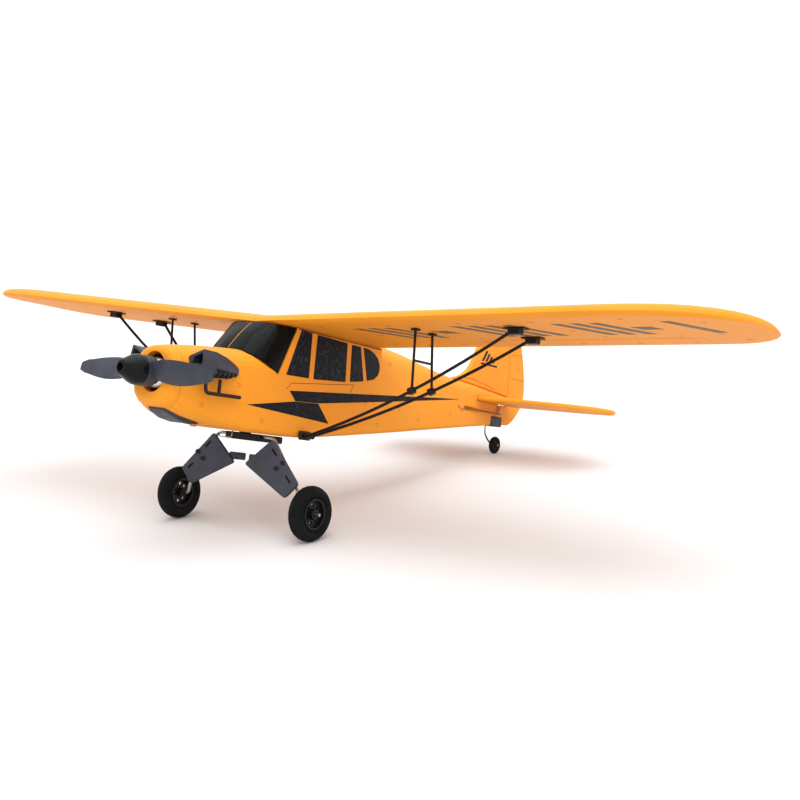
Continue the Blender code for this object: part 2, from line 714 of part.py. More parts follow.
for tag, p in (("front", STRUT_FRONT), ("rear", STRUT_REAR)):
    b = under_box("strut_bracket", p.x + 4.9, p.y, 8.0, 6.0, 4.4)
    flange = under_box("flange", p.x + 4.9, p.y, 14.0, 8.0, 1.3)
    union(b, flange)
    c = (p.x + 4.9, p.y, under(p.x + 4.9) - 2)
    mirrored(b, "strut_bracket_right_" + tag, BLACK, c)
    node(b, "strut_bracket_left_" + tag, BLACK, c)

JF, JFd = strut_at_x(SF0, STRUT_FRONT, JURY_X + 0.6)
JR, JRd = strut_at_x(SR0, STRUT_REAR, JURY_X - 0.8)
jt_f = Vector((JURY_X + 0.6, 135.6, under(JURY_X) - 0.9))
jt_r = Vector((JURY_X - 0.8, 156.4, under(JURY_X) - 0.9))
jury = tube("jury_strut", [jt_f, jt_f.lerp(JF, 0.5), JF + Vector((0, 0, 1.6))], 0.85, 8)
jr = tube("jury_rear", [jt_r, jt_r.lerp(JR, 0.5), JR + Vector((0, 0, 1.6))], 0.85, 8)
bar_f = jt_f.lerp(JF, 0.50)
bar_r = jt_r.lerp(JR, 0.52)
bar = rod("jury_bar", bar_f, bar_r, 0.8, 8)
union(jury, jr, bar)
for p, name in ((jt_f, "foot_f"), (jt_r, "foot_r")):
    union(jury, under_box(name, p.x, p.y, 5.0, 5.0, 1.5))
for p, d, name in ((JF, JFd, "clip_f"), (JR, JRd, "clip_r")):
    u = Vector((0, 1, 0))
    w = d.cross(u).normalized()
    clip = rounded_box(name, -2.3, 2.3, -2.1, 2.1, -2.1, 2.1, 0.5, 1)
    m = Matrix((d, u - u.dot(d) * d, w)).transposed().to_4x4()
    m.translation = p
    clip.data.transform(m)
    if clip.data.polygons and m.determinant() < 0:
        clip.data.flip_normals()
    union(jury, clip)
    boolean(jury, rod("strut_bore", p - d * 8, p + d * 8, STRUT_R + 0.42, 16))
pair(jury, "jury_strut", BLACK, (JURY_X, 145, 30))

# --------------------------------------------------------------------- tail
def vertical(u, v, h):
    return Vector((h, u, v))


def flat(u, v, h):
    return Vector((u, v, STAB_Z + h))


def ry(z, d):
    return (hinge_y(z) + d, z)


deck = fuselage_stations()


def deck_top(y):
    for a, b in zip(deck, deck[1:]):
        if a[0] <= y <= b[0]:
            k = (y - a[0]) / (b[0] - a[0])
            return a[3] + (b[3] - a[3]) * k
    return deck[-1][3]


fin_edge = curve_through([(345.0, deck_top(345) + 0.9), (358.0, 40.0), (368.0, 46.5), (375.0, 56.5),
                          (381.0, 68.0), (390.0, 80.5), (402.0, 89.6), (415.0, 93.6),
                          (hinge_y(94.0) - 4.0, 94.4)], 3)
fin_base = [(y, deck_top(y) + 0.35) for y in (hinge_y(30.0) - 1.2, 400.0, 372.0, 352.0)]
fin_base[0] = (hinge_y(29.6) - 1.0, deck_top(431) + 0.35)
fin_outline = fin_edge + [ry(94.2, -0.9), ry(60.0, -0.9)] + fin_base
node(slab("fin", fin_outline, TAIL_T, 1.0, vertical), "fin", FOAM, (0, 400, 35), 40)

rud = [ry(5.0, 0.0), ry(30.0, 0.0), ry(60.0, 0.0), ry(94.6, 0.0)]
rud_back = curve_through([ry(95.2, 3.0), (438.6, 93.0), (445.5, 86.0), (450.6, 76.5), (457.4, 61.0),
                          (462.6, 44.0), (463.8, 31.0), (460.4, 21.5), (452.5, 12.0), (445.0, 6.4), (440.0, 4.6)], 2)
rudder = slab("rudder", rud + rud_back, TAIL_T, 1.3, vertical)
RUD_AXIS = (RUD_TOP - RUD_LOW).normalized()
RUD_PIVOT = Vector((0, hinge_y(ROD_ZR), ROD_ZR))
node(rudder, "rudder", FOAM, RUD_PIVOT, 40)

le = curve_through([(8.6, 375.0), (40.0, 375.4), (72.0, 378.0), (94.0, 385.0), (108.0, 396.0), (113.4, ELEV_Y - 0.9)], 3)
stab_half = [(0.0, 375.0)] + le + [(60.0, ELEV_Y - 0.9)]
stab_outline = stab_half + [(0.0, ELEV_Y - 0.9)] + [(-x, y) for x, y in reversed(stab_half[1:])]
node(slab("stabilizer", stab_outline, STAB_T, 0.9, flat), "stabilizer", FOAM, (0, 390, STAB_Z), 40)

te = curve_through([(113.9, ELEV_Y + 3.0), (112.0, 424.0), (104.0, 434.0), (88.0, 440.0), (60.0, 441.6),
                    (30.0, 441.0), (12.0, 439.6)], 3)
elev_half = [(7.6, ELEV_Y), (60.0, ELEV_Y), (113.6, ELEV_Y)] + te + [(7.6, 437.0)]
elev = slab("elevator", elev_half, STAB_T, 1.3, flat)
elev2 = slab("elevator_half", [(-x, y) for x, y in elev_half], STAB_T, 1.3, flat)
union(elev, rod("joiner", (-14, ELEV_Y + 1.5, STAB_Z), (14, ELEV_Y + 1.5, STAB_Z), 1.2, 12), elev2)
ELEV_PIVOT = Vector((0, ELEV_Y, STAB_Z))
node(elev, "elevator", FOAM, ELEV_PIVOT, 40)

# control horns
z_top = STAB_Z - STAB_T / 2 - 0.35
h_out = [(ELEV_Y + 2.0, z_top), (ELEV_Y + 9.0, z_top), (ELEV_Y + 2.4, ROD_Z - 0.8), (ELEV_Y + 0.8, ROD_Z - 2.0),
         (ELEV_Y - 1.2, ROD_Z - 1.6), (ELEV_Y - 1.6, ROD_Z + 0.4), (ELEV_Y + 0.8, ROD_Z + 3.4)]
node(loft("horn_elevator", [[Vector((x, y, z)) for y, z in h_out] for x in (8.0, 9.1)]),
     "horn_elevator", WHITE, ELEV_PIVOT)
ry0 = hinge_y(ROD_ZR)
r_out = [(-TAIL_T / 2 - 0.35, ry0 + 2.0), (-TAIL_T / 2 - 0.35, ry0 + 8.5), (-ROD_X + 1.0, ry0 + 2.4), (-ROD_X - 1.4, ry0 + 1.4),
         (-ROD_X - 1.8, ry0 - 1.0), (-ROD_X - 0.2, ry0 - 1.6), (-ROD_X + 3.4, ry0 + 0.2)]
node(loft("horn_rudder", [[Vector((x, y, z)) for x, y in r_out] for z in (ROD_ZR + 1.4, ROD_ZR + 2.5)]),
     "horn_rudder", WHITE, RUD_PIVOT)

# tail box, tail wheel wire and wheel
tb = rounded_box("tail_box", -6.6, 6.6, 403.6, 422.6, 1.8, 10.0, 1.0, 2)
boolean(tb, rod("pivot_bore", (0, STEER_Y, -2), (0, STEER_Y, 8.2), 1.2, 16))
node(tb, "tail_box", GREY, (0, 412, 6))
TW = Vector((0, TAILW_Y, TAILW_Z))
tail_pts = bend([(0, STEER_Y, 7.6), (0, STEER_Y, -4.2), (-3.6, 417.5, -9.0), (-3.6, TAILW_Y, TAILW_Z),
                 (3.6, TAILW_Y, TAILW_Z)], 1.8, 3)
node(tube("tail_wire", tail_pts, 0.8, 10), "tail_wire", STEEL, (0, STEER_Y, 0))
tw_prof = [(1.15, -1.7), (4.2, -1.7), (5.6, -2.1), (6.8, -1.7), (7.4, -0.6), (7.4, 0.6), (6.8, 1.7), (5.6, 2.1),
           (4.2, 1.7), (1.15, 1.7)]
node(turned("tail_wheel", tw_prof, TW, 'X', 20), "tail_wheel", RUBBER, TW)

# tail servos, arms and pushrods
sv = rounded_box("servo_elevator", -1.2, 7.3, 224.0, 244.0, -7.0, 11.0, 0.6, 1)
node(sv, "servo_elevator", SERVO, (3, 234, 2))
sv = rounded_box("servo_rudder", -7.3, 1.2, 247.0, 267.0, -7.0, 11.0, 0.6, 1)
node(sv, "servo_rudder", SERVO, (-3, 257, 2))
EA_Y, RA_Y, TA_Z, RA_Z = 238.0, 261.0, ROD_Z - HORN_R, ROD_ZR - HORN_R
node(plate("arm_elevator", arm_outline(HORN_R), 7.8, 9.0, EA_Y, TA_Z), "arm_elevator", WHITE, (8.4, EA_Y, TA_Z))
node(plate("arm_rudder", arm_outline(HORN_R), -9.0, -7.8, RA_Y, RA_Z), "arm_rudder", WHITE, (-8.4, RA_Y, RA_Z))
node(rod("pushrod_elevator", (ROD_X, EA_Y - 1.5, ROD_Z), (ROD_X, ELEV_Y + 1.5, ROD_Z), 0.6, 10),
     "pushrod_elevator", STEEL, (ROD_X, 330, ROD_Z))
node(rod("pushrod_rudder", (-ROD_X, RA_Y - 1.5, ROD_ZR), (-ROD_X, ry0 + 1.5, ROD_ZR), 0.6, 10),
     "pushrod_rudder", STEEL, (-ROD_X, 350, ROD_ZR))

# ------------------------------------------------------- propeller and motor
hub_prof = [(2.5, 0.0), (3.4, 0.0), (4.4, 0.5), (8.0, 7.6), (9.0, 10.2), (HUB_R, 12.0), (HUB_R, 13.8), (1.3, 13.8),
            (1.3, 5.0), (2.5, 5.0)]
node(turned("prop_hub", hub_prof, (0, 0, 0), 'Y', 28), "prop_hub", BLACK, (0, 7, 0))

boss = turned("propeller", [(HUB_R, 14.2), (HUB_R, 22.4), (1.3, 22.4), (1.3, 14.2)], (0, 0, 0), 'Y', 24)


def blade_ring(r):
    k = (r - 6.0) / (PROP_R - 6.0)
    chord = 10.5 + 6.0 * math.sin(math.pi * min(1.0, k * 1.15) ** 0.8) - 2.2 * k ** 3
    if k > 0.94:
        chord *= 1 - 0.35 * ((k - 0.94) / 0.06) ** 2
    ang = math.radians(38 - 24 * k)
    thick = 2.6 - 1.7 * k
    n = 10
    pts = []
    for i in range(n):
        t = 2 * math.pi * i / n
        u = chord / 2 * math.cos(t)
        v = thick / 2 * math.sin(t) * (1.0 if math.sin(t) > 0 else 0.55)
        # leading edge up on the +X blade; turned about the blade axis
        pts.append(Vector((r, 18.4 - u * math.sin(ang) - v * math.cos(ang),
                           u * math.cos(ang) - v * math.sin(ang))))
    return pts


blade = loft("blade", [blade_ring(6.0 + (PROP_R - 6.0) * i / 11) for i in range(12)])
blade2 = blade.copy()
blade2.data = blade.data.copy()
bpy.context.scene.collection.objects.link(blade2)
blade2.data.transform(Matrix.Rotation(math.pi, 4, 'Y'))
union(boss, blade, blade2)
boolean(boss, rod("shaft_bore", (0, 5, 0), (0, 30, 0), 1.35, 24))
node(boss, "propeller", SLATE, (0, 18.4, 0), 40)

bell_prof = [(0.0, 7.0), (1.0, 7.0), (1.0, 25.0), (7.6, 25.6), (MOTOR_R, 27.4), (MOTOR_R, 37.4), (8.5, 37.4),
             (8.5, 28.0), (1.0, 28.0), (1.0, 41.5), (0.0, 41.5)]
node(turned("motor_bell", bell_prof, (0, 0, 0), 'Y', 24), "motor_bell", STEEL, (0, 30, 0))
stator_prof = [(1.35, 28.6), (8.1, 28.6), (8.1, 36.6), (3.2, 36.6), (3.2, 39.0), (9.0, 39.0), (9.0, 42.6), (2.0, 42.6), (2.0, 40.0), (1.35, 40.0)]
mount = rounded_box("motor_mount", -13.0, 13.0, 42.0, 44.4, -14.0, 12.0, 0.8, 1)
boolean(mount, rod("shaft_clear", (0, 38, 0), (0, 48, 0), 2.4, 20))
union(mount, turned("stator", stator_prof, (0, 0, 0), 'Y', 20))
node(mount, "motor_mount", BROWN, (0, 43, 0))

# engine fairings and exhausts
def fairing_ring(y, pts):
    return [Vector((x, y, z)) for x, z in pts]


cyl = loft("cylinder", [
    fairing_ring(34.6, [(14.0, 6.0), (20.0, 12.4), (31.0, 16.6), (32.4, 10.6), (31.6, 3.0), (29.0, 0.6), (14.0, 0.6)]),
    fairing_ring(46.0, [(14.0, 6.0), (20.5, 12.8), (30.6, 16.2), (32.0, 10.8), (31.4, 3.0), (28.8, 0.6), (14.0, 0.6)]),
    fairing_ring(57.0, [(14.0, 6.0), (21.0, 12.4), (28.6, 14.2), (30.2, 10.0), (30.2, 3.4), (28.0, 1.6), (14.0, 1.6)]),
    fairing_ring(66.0, [(14.0, 6.0), (21.4, 10.6), (26.4, 11.6), (27.6, 8.8), (27.6, 4.2), (26.2, 3.0), (14.0, 3.0)]),
    fairing_ring(71.0, [(14.0, 6.0), (21.6, 8.6), (25.6, 9.2), (26.0, 7.6), (26.0, 5.4), (25.6, 4.6), (14.0, 4.6)]),
])
boolean(cyl, fuselage_solid("grown", GAP + 0.05))
boolean(cyl, loft("scoop_mouth", [
    fairing_ring(30.0, [(21.8, 8.0), (22.6, 11.6), (30.2, 15.0), (31.2, 10.4), (30.4, 7.4)]),
    fairing_ring(44.0, [(22.6, 8.4), (23.6, 11.6), (29.6, 14.2), (30.4, 10.6), (30.0, 8.0)])]))
pair(cyl, "cylinder", SLATE, (28, 50, 8))

EX_X = 27.6
ex = tube("exhaust", bend([(EX_X + 1.0, 41.0, 0.1), (EX_X + 1.0, 42.6, -8.6), (EX_X, 73.0, -8.3)], 2.6, 3), 1.15, 10)
union(ex, rod("second_pipe", (EX_X + 0.9, 53.4, 0.6), (EX_X + 0.7, 53.8, -8.5), 1.1, 10))
pair(ex, "exhaust", BROWN, (EX_X, 57, -8))

# ------------------------------------------------------------------- landing gear
wire = bend([(-66.5, WHEEL_Y, WHEEL_Z), (-50.6, WHEEL_Y, WHEEL_Z), (-46.8, 114.6, -60.5), (-24.5, 112.0, -30.6),
             (24.5, 112.0, -30.6), (46.8, 114.6, -60.5), (50.6, WHEEL_Y, WHEEL_Z), (66.5, WHEEL_Y, WHEEL_Z)], 3.0, 3)
node(tube("gear_wire", wire, AXLE_R, 8), "gear_wire", STEEL, (0, 112, -30))
clamp = rounded_box("gear_clamp", -15.0, 15.0, 107.6, 132.0, -34.0, -29.3, 0.8, 1)
boolean(clamp, rod("wire_groove", (-30, 112.0, -30.6), (30, 112.0, -30.6), AXLE_R + 0.35, 20))
boolean(clamp, box("wire_slot", -30, 30, 112.0 - AXLE_R - 0.33, 112.0 + AXLE_R + 0.33, -30.6, -20))
node(clamp, "gear_clamp", BLACK, (0, 112, -31))

PL = [(26.4, -31.2), (52.4, -57.6), (42.3, -67.7), (4.4, -49.2)]
n_pl = []
for i, p in enumerate(PL):
    a, b = PL[i - 1], PL[(i + 1) % 4]
    r = 2.2
    va = Vector((a[0] - p[0], a[1] - p[1])).normalized() * r
    vb = Vector((b[0] - p[0], b[1] - p[1])).normalized() * r
    for s in (0.0, 0.5, 1.0):
        q = Vector(p) + va * (1 - s) ** 2 + vb * s ** 2
        n_pl.append((q.x, q.y))
plate_l = slab("gear_plate", n_pl, 2.0, 0.45, lambda u, v, h: Vector((u, 109.4 + h, v)))
for cx, cz, ang in ((29.6, -39.6, -42.0), (43.6, -55.4, -42.0)):
    sl = box("slot", -3.0, 3.0, 100, 120, -0.85, 0.85)
    sl.data.transform(Matrix.Translation((cx, 0, cz)) @ Matrix.Rotation(math.radians(-ang), 4, 'Y'))
    boolean(plate_l, sl)
for cx, cz in ((37.9, -45.4), (32.8, -49.4)):
    union(plate_l, rod("screw_boss", (cx, 107.6, cz), (cx, 109.0, cz), 1.7, 14))
lug = rounded_box("lug", 6.2, 11.6, 110.0, 121.5, -47.4, -42.6, 0.6, 1)
union(plate_l, lug)
pair(plate_l, "gear_plate", SLATE, (30, 109.4, -50))

C = Vector((WHEEL_X, WHEEL_Y, WHEEL_Z))
hw = TYRE_W / 2
tyre_prof = [(RIM_R + 0.35, -hw * 0.62), (RIM_R + 2.2, -hw * 0.92)]
for i in range(9):
    t = math.radians(-78 + 156 * i / 8)
    tyre_prof.append((WHEEL_R - 4.7 + 4.7 * math.cos(t), hw * math.sin(t) / math.sin(math.radians(78))))
tyre_prof += [(RIM_R + 2.2, hw * 0.92), (RIM_R + 0.35, hw * 0.62)]
pair(turned("tyre", tyre_prof, C, 'X', 32), "tyre", RUBBER, C)
rim_prof = [(1.5, -4.4), (2.8, -4.4), (3.0, -0.6), (8.2, -0.4), (8.4, -3.6), (RIM_R, -3.6), (RIM_R, 4.0), (8.8, 4.0),
            (8.2, 1.6), (3.6, 1.4), (3.2, 4.4), (1.5, 4.4)]
rim = turned("rim", rim_prof, C, 'X', 24)
for i in range(8):
    t = 2 * math.pi * i / 8
    c = C + Vector((0, 5.9 * math.cos(t), 5.9 * math.sin(t)))
    boolean(rim, rod("rim_hole", c - Vector((6, 0, 0)), c + Vector((6, 0, 0)), 1.45, 10))
pair(rim, "rim", BLACK, C)

# ---------------------------------------------------------- power and radio
node(rounded_box("battery", -8.6, 8.6, 58.0, 102.0, -21.0, -8.4, 1.6, 1), "battery", BLUE, (0, 80, -16))
node(rounded_box("receiver", -13.0, 13.0, 124.0, 160.0, -19.4, -12.0, 0.8, 1), "receiver", GREEN, (0, 142, -16))

# ------------------------------------------- stand the airplane on its wheels
dy = TAILW_Y - WHEEL_Y
dz = TAILW_Z - WHEEL_Z
PITCH = math.atan2(dz, dy) + math.asin((WHEEL_R - TAILW_R) / math.hypot(dy, dz))
spin = Matrix.Rotation(-PITCH, 4, 'X')
drop = WHEEL_R - (spin @ Vector((WHEEL_X, WHEEL_Y, WHEEL_Z))).z
rest = Matrix.Translation((0, 0, drop)) @ spin

ys = []
for ob, _ in NODES.values():
    ys += [(rest @ v.co).y for v in ob.data.vertices]
rest = Matrix.Translation((0, -(min(ys) + max(ys)) / 2, 0)) @ rest
metres = Matrix.Scale(0.001, 4)

for name, (ob, origin) in NODES.items():
    o = rest @ origin
    ob.data.transform(metres @ Matrix.Translation(-o) @ rest)
    ob.location = o * 0.001
    ob.data.update()
    ob.data.shade_smooth()
    ob.data.set_sharp_from_angle(angle=math.radians(ob["smooth_deg"]))
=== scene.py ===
"""Small foam high-wing trainer airplane: finishes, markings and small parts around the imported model."""
import math
import random

import bmesh
import bpy
from mathutils import Matrix, Vector
from mathutils.bvhtree import BVHTree
from mathutils.geometry import delaunay_2d_cdt


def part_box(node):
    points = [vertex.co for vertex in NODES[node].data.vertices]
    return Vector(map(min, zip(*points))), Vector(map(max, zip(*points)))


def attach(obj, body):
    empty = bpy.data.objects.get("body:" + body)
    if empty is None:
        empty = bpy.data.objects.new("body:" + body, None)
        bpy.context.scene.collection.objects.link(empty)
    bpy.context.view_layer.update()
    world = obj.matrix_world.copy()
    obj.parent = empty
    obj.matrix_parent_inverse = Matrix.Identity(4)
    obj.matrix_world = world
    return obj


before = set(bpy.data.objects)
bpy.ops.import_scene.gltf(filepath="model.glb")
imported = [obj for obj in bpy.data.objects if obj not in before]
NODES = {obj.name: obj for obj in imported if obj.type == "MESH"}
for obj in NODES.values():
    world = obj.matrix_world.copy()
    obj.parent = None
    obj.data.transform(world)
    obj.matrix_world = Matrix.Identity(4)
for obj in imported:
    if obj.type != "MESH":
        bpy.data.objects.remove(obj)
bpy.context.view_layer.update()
scene = bpy.context.scene
R = random.Random(7)

# ----------------------------------------------------- level frame to rest
# The airplane is described level, in millimetres from the propeller hub
# (+X left wing, +Y tail, +Z up), then pitched nose-up onto its wheels.
_c, _s = 0.9743367433547974, 0.2250954508781433
_lo, _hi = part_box("tyre_left")
_w = (_lo + _hi) / 2 * 1000
WHEEL = Vector((58.9, 115.9, -74.8))
_ty = _w.y - (_c * WHEEL.y + _s * WHEEL.z)
_tz = _w.z - (-_s * WHEEL.y + _c * WHEEL.z)
L2R = Matrix.Scale(0.001, 4) @ Matrix(((1, 0, 0, 0), (0, _c, _s, _ty), (0, -_s, _c, _tz), (0, 0, 0, 1)))
R2L = L2R.inverted()


def P(x, y, z):
    """A level-frame point in millimetres, in the shared frame in metres."""
    return L2R @ Vector((x, y, z))


def surface(*names):
    """Ray target made of CAD nodes, in level millimetres."""
    vs, fs = [], []
    for n in names:
        me = NODES[n].data
        o = len(vs)
        vs += [R2L @ v.co for v in me.vertices]
        fs += [[o + i for i in p.vertices] for p in me.polygons]
    return BVHTree.FromPolygons(vs, fs)


# -------------------------------------------------------------- materials
def new_mat(name):
    m = bpy.data.materials.new(name)
    m.use_nodes = True
    nt = m.node_tree
    nt.nodes.clear()
    out = nt.nodes.new("ShaderNodeOutputMaterial")
    b = nt.nodes.new("ShaderNodeBsdfPrincipled")
    nt.links.new(b.outputs[0], out.inputs["Surface"])
    return m, nt, b


def coords(nt, scale=(1, 1, 1)):
    t = nt.nodes.new("ShaderNodeTexCoord")
    mp = nt.nodes.new("ShaderNodeMapping")
    mp.inputs["Scale"].default_value = scale
    nt.links.new(t.outputs["Object"], mp.inputs["Vector"])
    return mp.outputs["Vector"]


def noise(nt, vec, scale, detail=3.0, rough=0.5, dist=0.0):
    n = nt.nodes.new("ShaderNodeTexNoise")
    n.inputs["Scale"].default_value = scale
    n.inputs["Detail"].default_value = detail
    n.inputs["Roughness"].default_value = rough
    n.inputs["Distortion"].default_value = dist
    nt.links.new(vec, n.inputs["Vector"])
    return n.outputs["Fac"]


def voronoi(nt, vec, scale, feature="F1", smooth=None):
    n = nt.nodes.new("ShaderNodeTexVoronoi")
    n.feature = feature
    n.inputs["Scale"].default_value = scale
    if smooth is not None and "Smoothness" in n.inputs:
        n.inputs["Smoothness"].default_value = smooth
    nt.links.new(vec, n.inputs["Vector"])
    return n


def ramp(nt, fac, stops, interp="LINEAR"):
    n = nt.nodes.new("ShaderNodeValToRGB")
    n.color_ramp.interpolation = interp
    els = n.color_ramp.elements
    while len(els) > 1:
        els.remove(els[-1])
    for i, (p, c) in enumerate(stops):
        e = els[0] if i == 0 else els.new(p)
        e.position = p
        e.color = (*c, 1.0) if len(c) == 3 else c
    nt.links.new(fac, n.inputs["Fac"])
    return n.outputs["Color"]


def maprange(nt, v, a, b, c, d):
    n = nt.nodes.new("ShaderNodeMapRange")
    for k, x in zip(("From Min", "From Max", "To Min", "To Max"), (a, b, c, d)):
        n.inputs[k].default_value = x
    nt.links.new(v, n.inputs["Value"])
    return n.outputs["Result"]


def mixc(nt, fac, a, b, mode="MIX"):
    n = nt.nodes.new("ShaderNodeMix")
    n.data_type = "RGBA"
    n.blend_type = mode
    for s, x in ((0, fac), (6, a), (7, b)):
        if isinstance(x, (int, float)):
            n.inputs[s].default_value = x
        elif isinstance(x, (tuple, list)):
            n.inputs[s].default_value = (*x, 1.0)
        else:
            nt.links.new(x, n.inputs[s])
    return n.outputs[2]


def madd(nt, a, b, op="ADD"):
    n = nt.nodes.new("ShaderNodeMath")
    n.operation = op
    for i, x in enumerate((a, b)):
        if isinstance(x, (int, float)):
            n.inputs[i].default_value = x
        else:
            nt.links.new(x, n.inputs[i])
    return n.outputs[0]


def bump(nt, b, height, strength, dist):
    n = nt.nodes.new("ShaderNodeBump")
    n.inputs["Strength"].default_value = strength
    n.inputs["Distance"].default_value = dist
    nt.links.new(height, n.inputs["Height"])
    nt.links.new(n.outputs["Normal"], b.inputs["Normal"])
    return n


def foam(name, col, deep, bead=3.1, rough=0.5, bump_mm=0.045, fleck=0.05):
    """Moulded bead foam under paint: fused beads, fine skin, gentle tone changes."""
    m, nt, b = new_mat(name)
    v = coords(nt)
    warp = noise(nt, v, 900, 2)
    cell = voronoi(nt, v, 1000 / bead, "F1")
    edge = voronoi(nt, v, 1000 / bead, "DISTANCE_TO_EDGE")
    groove = maprange(nt, edge.outputs["Distance"], 0.0, 0.16, 0.0, 1.0)
    dome = maprange(nt, cell.outputs["Distance"], 0.0, 0.8, 1.0, 0.0)
    skin = noise(nt, v, 3500, 3, 0.6)
    h = madd(nt, madd(nt, madd(nt, groove, 0.45, "MULTIPLY"), madd(nt, dome, 0.5, "MULTIPLY")),
             madd(nt, skin, 0.22, "MULTIPLY"))
    bump(nt, b, h, 1.0, bump_mm * 0.001)
    broad = noise(nt, v, 16, 2)
    tone = mixc(nt, maprange(nt, broad, 0.3, 0.7, 0.0, 1.0), col, deep)
    lines = maprange(nt, groove, 0.0, 1.0, fleck, 0.0)
    tone = mixc(nt, lines, tone, tuple(x * 0.55 for x in deep))
    spot = voronoi(nt, v, 520, "F1")
    grey = nt.nodes.new("ShaderNodeSeparateColor")
    nt.links.new(spot.outputs["Color"], grey.inputs[0])
    light = maprange(nt, grey.outputs[0], 0.0, 1.0, 0.0, fleck * 0.8)
    tone = mixc(nt, light, tone, tuple(min(1.0, x * 1.25 + 0.03) for x in col))
    nt.links.new(tone, b.inputs["Base Color"])
    nt.links.new(maprange(nt, warp, 0.2, 0.8, rough - 0.05, rough + 0.08), b.inputs["Roughness"])
    b.inputs["Specular IOR Level"].default_value = 0.13
    return m


def plastic(name, col, rough=0.42, grain=0.02, wear=None, spec=0.5, metal=0.0, coat=0.0, scale=2600):
    """Moulded or coated part: fine grain, small tone changes, a little wear."""
    m, nt, b = new_mat(name)
    v = coords(nt)
    fine = noise(nt, v, scale, 4, 0.65)
    broad = noise(nt, v, 90, 3, 0.55)
    tone = mixc(nt, maprange(nt, broad, 0.3, 0.7, 0.0, 1.0), tuple(x * 0.82 for x in col), tuple(min(1, x * 1.18 + 0.002) for x in col))
    if wear is not None:
        spots = maprange(nt, noise(nt, v, 420, 6, 0.7), 0.63, 0.78, 0.0, 0.6)
        tone = mixc(nt, spots, tone, wear)
    nt.links.new(tone, b.inputs["Base Color"])
    nt.links.new(maprange(nt, noise(nt, v, 260, 4, 0.6), 0.25, 0.75, rough - 0.07, rough + 0.1), b.inputs["Roughness"])
    b.inputs["Specular IOR Level"].default_value = spec
    b.inputs["Metallic"].default_value = metal
    b.inputs["Coat Weight"].default_value = coat
    bump(nt, b, fine, 1.0, grain * 0.001)
    return m


def sticker(name, col, painted_glint, size=1.6, tall=2.6, rough=0.36, depth=0.16):
    """Dark film pressed over the beads: crinkled bump, with short lighter flecks mixed into the colour as a painted
    highlight.
    """
    m, nt, b = new_mat(name)
    v = coords(nt, (1.0, 1.0, 1.0 / tall))
    wr = noise(nt, v, 1000 / (size * 1.6), 3, 0.62, 0.6)
    be = voronoi(nt, v, 1000 / (size * 1.5), "SMOOTH_F1", 0.6)
    h = madd(nt, wr, madd(nt, be.outputs["Distance"], -0.7, "MULTIPLY"))
    bump(nt, b, h, 1.0, depth * 0.001)
    # painted highlight: lighter flecks mixed into the base colour stand in for glints on the crinkled film
    painted_glint_mask = maprange(nt, noise(nt, v, 1000 / size, 4, 0.66, 0.8), 0.55, 0.63, 0.0, 1.0)
    tone = mixc(nt, painted_glint_mask, col, painted_glint)
    nt.links.new(tone, b.inputs["Base Color"])
    nt.links.new(maprange(nt, wr, 0.3, 0.7, rough - 0.08, rough + 0.12), b.inputs["Roughness"])
    b.inputs["Specular IOR Level"].default_value = 0.09
    return m


def steel(name, col=(0.5, 0.49, 0.47), rough=0.3):
    m, nt, b = new_mat(name)
    v = coords(nt, (1, 1, 1))
    n = noise(nt, v, 1800, 4, 0.6)
    nt.links.new(mixc(nt, maprange(nt, noise(nt, v, 150, 3), 0.3, 0.7, 0, 1), tuple(x * 0.75 for x in col), col), b.inputs["Base Color"])
    nt.links.new(maprange(nt, n, 0.2, 0.8, rough - 0.08, rough + 0.12), b.inputs["Roughness"])
    b.inputs["Metallic"].default_value = 1.0
    bump(nt, b, n, 1.0, 0.00001)
    return m


def rubber(name, col=(0.014, 0.014, 0.0145), pore=0.9):
    m, nt, b = new_mat(name)
    v = coords(nt)
    pores = voronoi(nt, v, 1000 / pore, "F1")
    fine = noise(nt, v, 2400, 3, 0.6)
    h = madd(nt, madd(nt, pores.outputs["Distance"], 0.8, "MULTIPLY"), madd(nt, fine, 0.4, "MULTIPLY"))
    bump(nt, b, h, 1.0, 0.00006)
    tone = mixc(nt, maprange(nt, noise(nt, v, 60, 3), 0.3, 0.7, 0, 1), tuple(x * 0.7 for x in col), tuple(x * 1.5 for x in col))
    nt.links.new(tone, b.inputs["Base Color"])
    nt.links.new(maprange(nt, fine, 0.2, 0.8, 0.62, 0.86), b.inputs["Roughness"])
    b.inputs["Specular IOR Level"].default_value = 0.08
    return m


YELLOW, YDEEP = (0.80, 0.30, 0.021), (0.79, 0.272, 0.015)
M = {}
M["foam"] = foam("foam_yellow", YELLOW, YDEEP)
M["slate"] = plastic("slate_satin", (0.034, 0.036, 0.05), 0.42, 0.012, spec=0.22)
M["black"] = plastic("black_satin", (0.0075, 0.0055, 0.005), 0.4, 0.01, spec=0.16)
# strut colour: the strut's own dark brown-black, plus a reddish tint that is painted orange bounce light from the foam
M["strut"] = plastic("strut_brown_black_with_painted_bounce", (0.012, 0.0065, 0.005), 0.42, 0.01, spec=0.14)
M["gloss"] = plastic("screen_gloss", (0.002, 0.003, 0.0026), 0.2, 0.004, spec=0.09, scale=900)
M["hub"] = plastic("hub_gloss", (0.0025, 0.004, 0.0035), 0.24, 0.006, spec=0.13)
M["rim"] = plastic("rim_gloss", (0.005, 0.005, 0.0055), 0.26, 0.006, spec=0.22)
M["brown"] = plastic("burnt_brown", (0.018, 0.0075, 0.005), 0.38, 0.015, wear=(0.06, 0.016, 0.008), spec=0.22)
M["bay"] = plastic("bay_redbrown", (0.14, 0.022, 0.008), 0.55, 0.02)
M["steel"] = steel("wire_steel")
M["rodm"] = steel("pushrod_wire", (0.24, 0.15, 0.08), 0.42)
M["silver"] = steel("motor_silver", (0.72, 0.72, 0.74), 0.26)
M["rubber"] = rubber("tyre_foam_rubber", (0.006, 0.006, 0.0063))
M["grey"] = plastic("tail_slate", (0.035, 0.037, 0.045), 0.5, 0.015, spec=0.3)
